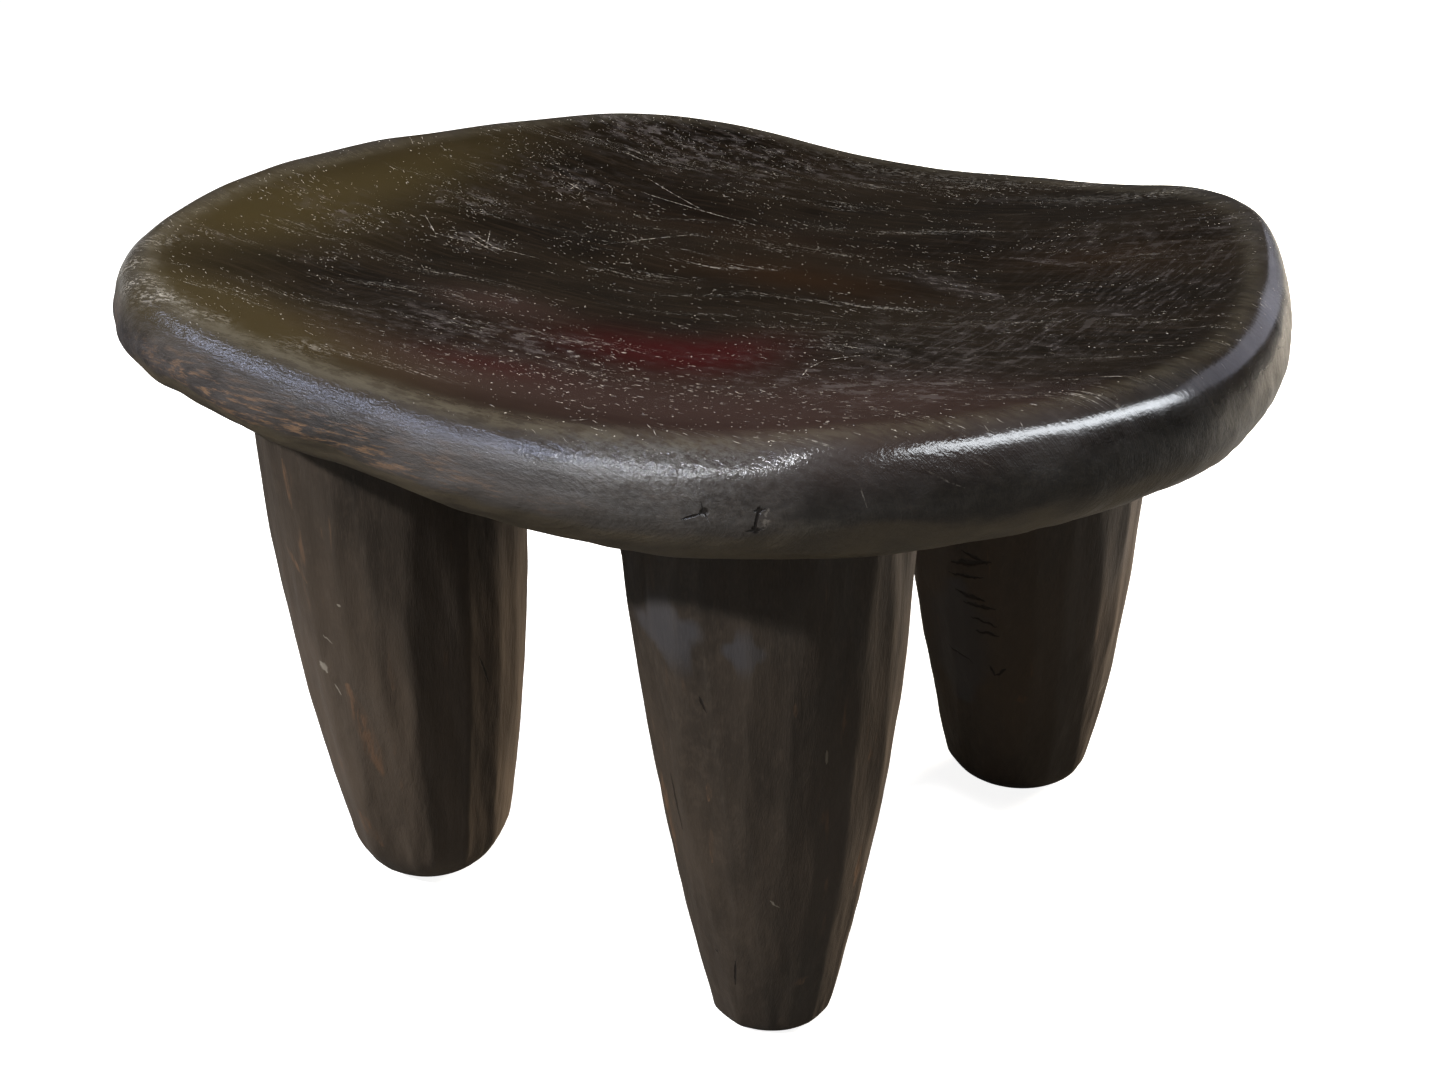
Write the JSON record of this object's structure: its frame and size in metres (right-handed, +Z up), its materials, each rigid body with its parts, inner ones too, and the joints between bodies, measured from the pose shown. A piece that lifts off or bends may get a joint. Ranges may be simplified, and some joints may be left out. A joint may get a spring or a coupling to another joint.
{
  "type": "low carved stool",
  "caption": "Low stool carved from dark hardwood, with a thick dished oval seat raised at its ends on stout legs that taper to small rounded feet.",
  "frame": {"origin": "on the floor, under the middle of the stool's bounding box", "axes": "+Z up, +X along the grain, the long way of the seat, -Y towards the side nearest the viewer in the picture"},
  "size_m": [0.406, 0.3638, 0.238],
  "materials": {
    "seat_patina": "gloss",
    "leg_wood": "satin"
  },
  "bodies": {
    "root": {"seat": "seat_patina", "front_left_leg": "leg_wood", "front_right_leg": "leg_wood", "back_right_leg": "leg_wood", "back_left_leg": "leg_wood"}
  },
  "joints": []
}
